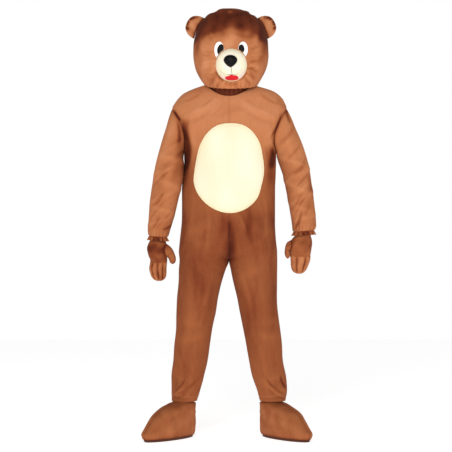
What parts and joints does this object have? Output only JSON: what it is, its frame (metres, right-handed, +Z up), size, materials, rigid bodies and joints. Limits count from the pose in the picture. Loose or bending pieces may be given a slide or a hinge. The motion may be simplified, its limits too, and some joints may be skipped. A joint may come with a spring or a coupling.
{
  "type": "bear costume",
  "caption": "Brown plush bear costume with a head, a one-piece suit with a cream belly patch, mitts and boot covers, empty and standing.",
  "frame": {"origin": "between the shoulders, where the suit hangs from its wearer", "axes": "+Z up along the body, -Y the front of the costume, +X the wearer's left"},
  "size_m": [0.7456, 0.3883, 1.85],
  "materials": {
    "brown_plush": "short-pile plush",
    "tan_plush": "short-pile plush",
    "dark_brown_cloth": "plain cloth",
    "cream_plush": "short-pile plush",
    "black_cloth": "smooth cloth",
    "white_felt": "felt",
    "red_felt": "felt",
    "sole_rubber": "matt"
  },
  "bodies": {
    "root": {"head_front": "brown_plush", "head_back": "brown_plush", "ear_left_back": "brown_plush", "ear_right_back": "brown_plush", "front_left": "brown_plush", "front_right": "brown_plush", "back_left": "brown_plush", "back_right": "brown_plush", "back_placket": "brown_plush", "sleeve_left": "brown_plush", "sleeve_right": "brown_plush", "cuff_left": "brown_plush", "cuff_right": "brown_plush", "mitt_left_back": "brown_plush", "mitt_left_fingers": "brown_plush", "mitt_left_palm": "brown_plush", "mitt_left_thumb": "brown_plush", "boot_left_outer": "brown_plush", "boot_left_inner": "brown_plush", "boot_left_sole": "sole_rubber", "ear_left_front": "tan_plush", "eye_left": "white_felt", "pupil_left": "black_cloth", "mitt_right_back": "brown_plush", "mitt_right_fingers": "brown_plush", "mitt_right_palm": "brown_plush", "mitt_right_thumb": "brown_plush", "boot_right_outer": "brown_plush", "boot_right_inner": "brown_plush", "boot_right_sole": "sole_rubber", "ear_right_front": "tan_plush", "eye_right": "white_felt", "pupil_right": "black_cloth", "nose": "black_cloth", "muzzle": "cream_plush", "belly_patch": "cream_plush", "mouth": "red_felt", "neck_skirt": "dark_brown_cloth"}
  },
  "joints": []
}
